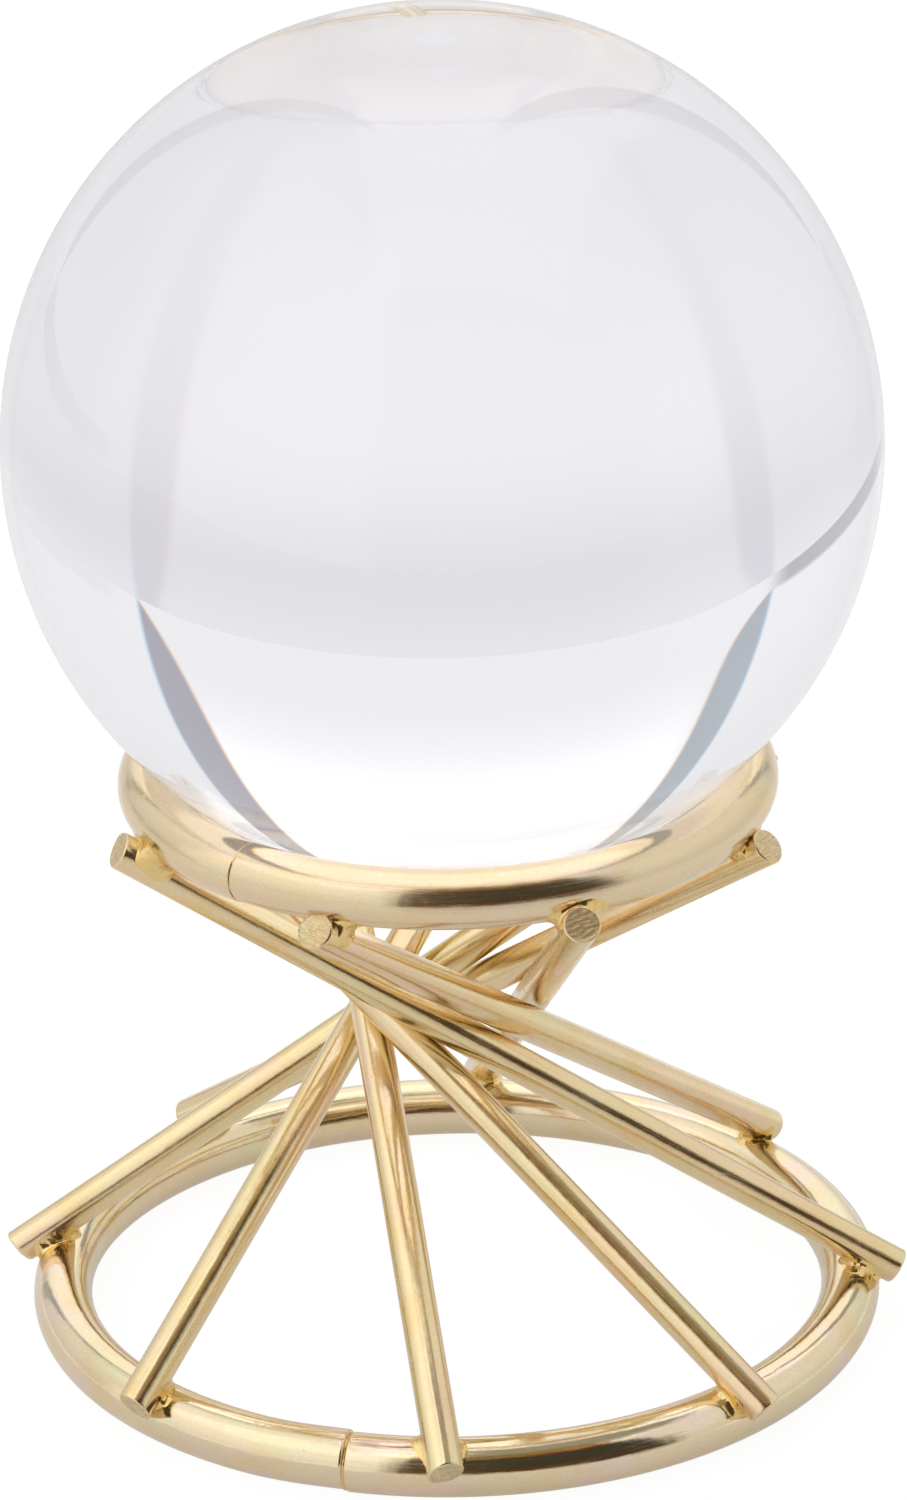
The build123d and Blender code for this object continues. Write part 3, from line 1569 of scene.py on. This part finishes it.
@dataclass(frozen=True)
class Span:
    """A stretch of numbers with soft ends.

    Attributes:
        low: where it begins.
        high: where it ends.
        soft: how far each end is blurred to either side.
    """

    low: float
    high: float
    soft: float

    def mask(self, value: Value) -> Value:
        """1 where a value lies in the stretch and 0 elsewhere."""
        left = value.lift(self.high - self.soft, self.high + self.soft)
        return value.lift(self.low - self.soft, self.low + self.soft) * (1.0 - left)


@dataclass(frozen=True)
class Slit:
    """A dark slit between the sweep and a screen. Angles are in degrees.

    Its outer edge is upright or leans a little. Its inner edge curves out to it near the table, as
    a falling exponential of the elevation.

    Attributes:
        side: 1 for the right slit and -1 for the left.
        colour: its colour.
        inner: how far aside its inner edge is high up.
        outer: how far aside its outer edge is at the horizon.
        curve: how far the inner edge has come out at the horizon.
        fall: the elevation over which that dies away.
        lean: how far the outer edge comes in for each degree of elevation; the inner edge comes in
            half as far.
        soft: how far its edges are blurred.
        top: the elevations between which it fades out.
    """

    side: float
    colour: Colour
    inner: float
    outer: float
    curve: float
    fall: float
    lean: float = 0.0
    soft: float = 0.5
    top: Limits = (55.0, 75.0)

    def mask(self, way: Way, shift: float) -> Value:
        """How deep in the slit a direction is.

        Args:
            way: the direction.
            shift: how far inwards the slit is moved.

        Returns:
            0 to 1.
        """
        aside = way.azimuth * self.side + shift
        curve = (way.elevation * (-1 / self.fall)).math("EXPONENT") * self.curve
        inner = curve + self.inner - way.elevation * (self.lean / 2)
        outer = way.elevation * -self.lean + self.outer
        past_inner = (aside - inner).lift(-self.soft, self.soft)
        before_outer = (outer - aside).lift(-self.soft, self.soft)
        return past_inner * before_outer * (1.0 - way.elevation.lift(*self.top))


@dataclass(frozen=True)
class Studio:
    """A pale table between white screens, with a sweep behind it and a dark room before it.

    Directions are in degrees. Azimuth is measured from straight behind the object, or from the
    camera for the key screen, its flare, the room and the unlit ceiling, and grows to the right;
    elevation is above the horizon. A rise is a pair of elevations between which a thing sets in.
    Between the sweep and each screen is a dark slit, and past the table's edge is a dim gap.

    Attributes:
        table_reach: how far the table goes to the sides.
        table_back: how far it goes to the back.
        table_front: how far it goes to the front.
        screens: the brightness of the screens at the sides.
        foot: how much dimmer the screens are at their foot.
        foot_rise: where they reach their full brightness.
        key: the brightness of the lit screen at the front left.
        key_span: the azimuths that it covers.
        flare: what the key screen's lamp adds high up on it.
        flare_span: the azimuths that the lamp lights.
        flare_rise: where its light sets in.
        sweep: the brightness of the sweep.
        sweep_side: the azimuths on both sides between which it ends.
        sweep_rise: where it reaches its full brightness.
        overhead: the brightness above.
        overhead_rise: where that sets in.
        ceiling: what the light in the ceiling adds to it.
        ceiling_x: the light's extent in x, in the direction's own unit vector.
        ceiling_y: its extent in y.
        ceiling_z: the heights between which it sets in.
        slits: the left and the right slit.
        fringe: how far apart red and blue lie at the slits' edges.
        gap: how much the gaps past the table's edge take away, at the left and at the right.
        gap_span: how far to the side the gaps lie.
        gap_height: the elevation of their middle.
        gap_fade: how far above and below it they begin to fade, and end.
        room: the colour of the dark room before the object.
        room_foot: its colour near the floor.
        room_haze: the colour of its left side.
        room_span: the azimuths that it covers.
        room_rise: where it sets in, under the table.
        room_top: the elevation at which it ends, for red, green and blue.
        room_blur: how soft that end is.
        foot_fade: the elevations between which its colour near the floor gives way.
        haze_fade: the azimuths between which its left side gives way.
        veil: how much of the room is hidden from perfect mirrors such as the ball.
        unlit: the colour of the unlit ceiling at the front right.
        unlit_share: how much of the light it takes the place of.
        unlit_span: the azimuths that it covers.
        unlit_rise: where it sets in.
        unlit_edge: how bright its lower edge is, as a share of its colour.
        unlit_edge_fade: the elevations between which that edge gives way.
        plain: the brightness that the camera sees past the table's edge.
    """

    table_reach: float = 1.15
    table_back: float = 2.4
    table_front: float = 0.45
    screens: float = 0.89
    foot: float = 0.17
    foot_rise: Limits = (-6.0, 30.0)
    key: float = 1.10
    key_span: Span = Span(-103.0, -19.0, 5.0)
    flare: float = 0.22
    flare_span: Span = Span(-135.0, -25.0, 8.0)
    flare_rise: Limits = (28.0, 46.0)
    sweep: float = 1.20
    sweep_side: Limits = (26.0, 32.0)
    sweep_rise: Limits = (3.0, 26.0)
    overhead: float = 0.98
    overhead_rise: Limits = (60.0, 76.0)
    ceiling: float = 0.36
    ceiling_x: Span = Span(-0.25, 0.52, 0.03)
    ceiling_y: Span = Span(-0.47, 0.68, 0.04)
    ceiling_z: Limits = (0.0, 0.1)
    slits: tuple[Slit, Slit] = (
        Slit(-1.0, (0.385, 0.44, 0.475), inner=30.2, outer=37.2, curve=6.3, fall=3.2, lean=0.10),
        Slit(1.0, (0.385, 0.38, 0.42), inner=26.0, outer=33.3, curve=5.6, fall=7.0),
    )
    fringe: float = 0.3
    gap: tuple[float, float] = (0.50, 0.06)
    gap_span: Span = Span(38.0, 84.0, 3.0)
    gap_height: float = -2.3
    gap_fade: Limits = (1.7, 2.6)
    room: Colour = (0.056, 0.055, 0.040)
    room_foot: Colour = (0.085, 0.042, 0.014)
    room_haze: Colour = (0.095, 0.072, 0.050)
    room_span: Span = Span(-18.0, 57.0, 3.5)
    room_rise: Limits = (-52.0, -38.0)
    room_top: Colour = (59.0, 62.0, 66.0)
    room_blur: float = 11.0
    foot_fade: Limits = (0.0, 26.0)
    haze_fade: Limits = (-12.0, 22.0)
    veil: float = 0.85
    unlit: Colour = (0.20, 0.195, 0.145)
    unlit_share: float = 0.85
    unlit_span: Span = Span(-2.0, 128.0, 4.0)
    unlit_rise: Limits = (57.0, 62.0)
    unlit_edge: float = 0.35
    unlit_edge_fade: Limits = (60.0, 68.0)
    plain: float = 1.0

    def build(self) -> None:
        """Builds the table and the light all round."""
        side, front, back = self.table_reach, -self.table_front, self.table_back
        corners = [(-side, front, 0.0), (side, front, 0.0), (side, back, 0.0), (-side, back, 0.0)]
        mesh = bpy.data.meshes.new("Table_top")
        mesh.from_pydata(corners, [], [[0, 1, 2, 3]])
        add_piece(mesh, StudioFloor().material())
        self._light()
        log.info("studio ready")

    def _level(self, way: Way) -> Value:
        """The brightness of the screens, the sweep, the ceiling and the gaps.

        Args:
            way: the direction.

        Returns:
            The brightness.
        """
        elevation = way.elevation
        key = self.key_span.mask(way.from_camera)
        flare = self.flare_span.mask(way.from_camera) * elevation.lift(*self.flare_rise)
        sweep = (1.0 - abs(way.azimuth).lift(*self.sweep_side)) * elevation.lift(*self.sweep_rise)
        level = key * (self.key - self.screens) + sweep * (self.sweep - self.screens) + self.screens
        level = level + flare * self.flare
        high = elevation.lift(*self.overhead_rise)
        level = level * (1.0 - high) + high * self.overhead
        foot = (1.0 - elevation.lift(*self.foot_rise)) * (1.0 - way.mirrored)
        level = level * (1.0 - foot * self.foot)
        ceiling = self.ceiling_x.mask(way.x) * self.ceiling_y.mask(way.y)
        level = level + ceiling * way.z.lift(*self.ceiling_z) * self.ceiling
        edge = 1.0 - abs(elevation - self.gap_height).lift(*self.gap_fade)
        for side, depth in zip((-1.0, 1.0), self.gap):
            level = level * (1.0 - edge * self.gap_span.mask(way.azimuth * side) * depth)
        return level

    def _colour(self, tree: ShaderTree, way: Way) -> bpy.types.NodeSocket:
        """The light from each direction: the bright things, and the slits, the unlit ceiling and the
        dark room over them, worked out for red, green and blue in turn.

        Args:
            tree: the world's tree.
            way: the direction.

        Returns:
            The colour.
        """
        elevation, from_camera = way.elevation, way.from_camera
        level = self._level(way)
        across_room = self.room_span.mask(from_camera) * elevation.lift(*self.room_rise)
        across_room = across_room * (1.0 - way.mirrored * self.veil)
        hazy = 1.0 - from_camera.lift(*self.haze_fade)
        low_down = 1.0 - elevation.lift(*self.foot_fade)
        unlit = self.unlit_span.mask(from_camera) * elevation.lift(*self.unlit_rise)
        unlit = unlit * (1.0 - way.mirrored) * self.unlit_share
        unlit_level = elevation.lift(*self.unlit_edge_fade) * (1.0 - self.unlit_edge) + self.unlit_edge
        channels = {}
        for channel, shift in enumerate((-self.fringe / 2, 0.0, self.fringe / 2)):
            left, right = (slit.mask(way, shift) for slit in self.slits)
            lit = level * (1.0 - right - left)
            lit = lit + left * self.slits[0].colour[channel] + right * self.slits[1].colour[channel]
            lit = lit * (1.0 - unlit) + unlit * unlit_level * self.unlit[channel]
            top = self.room_top[channel]
            room = across_room * (1.0 - elevation.lift(top - self.room_blur, top + self.room_blur))
            dark = self.room[channel]
            shade = low_down * (self.room_foot[channel] - dark) + hazy * (self.room_haze[channel] - dark)
            channels[channel] = lit * (1.0 - room) + room * (shade + dark)
        return tree.node("ShaderNodeCombineColor", {}, channels).outputs[0]

    def _light(self) -> None:
        """Fills the world's tree. Camera rays see a plain pale background."""
        world = bpy.data.worlds.new("studio")
        bpy.context.scene.world = world
        world.use_nodes = True
        tree = ShaderTree(world.node_tree)
        seen = tree.node("ShaderNodeLightPath").outputs["Is Camera Ray"]
        shown = tree.mixed(seen, self._colour(tree, Way(tree)), (self.plain,) * 3)
        background = tree.node("ShaderNodeBackground", {}, {"Color": shown, "Strength": 1.0})
        tree.finish(background.outputs[0], "ShaderNodeOutputWorld")


@dataclass(frozen=True)
class Camera:
    """A long lens that looks down on the object from the front.

    Attributes:
        elevation: how far it looks down, in degrees.
        roll: how far it leans, in degrees.
        distance: how far it is from the point that it looks at.
        target: that point.
        lens: its focal length in millimetres, on a 36 mm sensor.
        clip: the nearest and the farthest distance that it sees.
    """

    elevation: float = 23.2
    roll: float = -0.97
    distance: float = 0.700
    target: Place = (0.00055, 0.0, 0.05722)
    lens: float = 182.5
    clip: Limits = (0.05, 20.0)

    def build(self) -> None:
        """Makes the camera and the scene's active camera of it."""
        data = bpy.data.cameras.new("Camera")
        data.lens = self.lens
        data.clip_start, data.clip_end = self.clip
        camera = bpy.data.objects.new("Camera", data)
        bpy.context.scene.collection.objects.link(camera)
        down = math.radians(self.elevation)
        back = Vector((0.0, -math.cos(down), math.sin(down)))
        roll = Matrix.Rotation(math.radians(self.roll), 3, "Z")
        turn = back.to_track_quat("Z", "Y").to_matrix() @ roll
        place = Matrix.Translation(Vector(self.target) + back * self.distance)
        camera.matrix_world = place @ turn.to_4x4()
        bpy.context.scene.camera = camera


def main() -> None:
    """Builds the stand, the ball and the studio."""
    logging.basicConfig(level=logging.INFO, format="%(name)s: %(message)s")
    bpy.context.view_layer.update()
    stand = Stand()
    stand.build()
    GlassBall().build(stand.upper_ring)
    Studio().build()
    Camera().build()
    bpy.context.scene.view_settings.view_transform = "Standard"


if __name__ == "__main__":
    main()
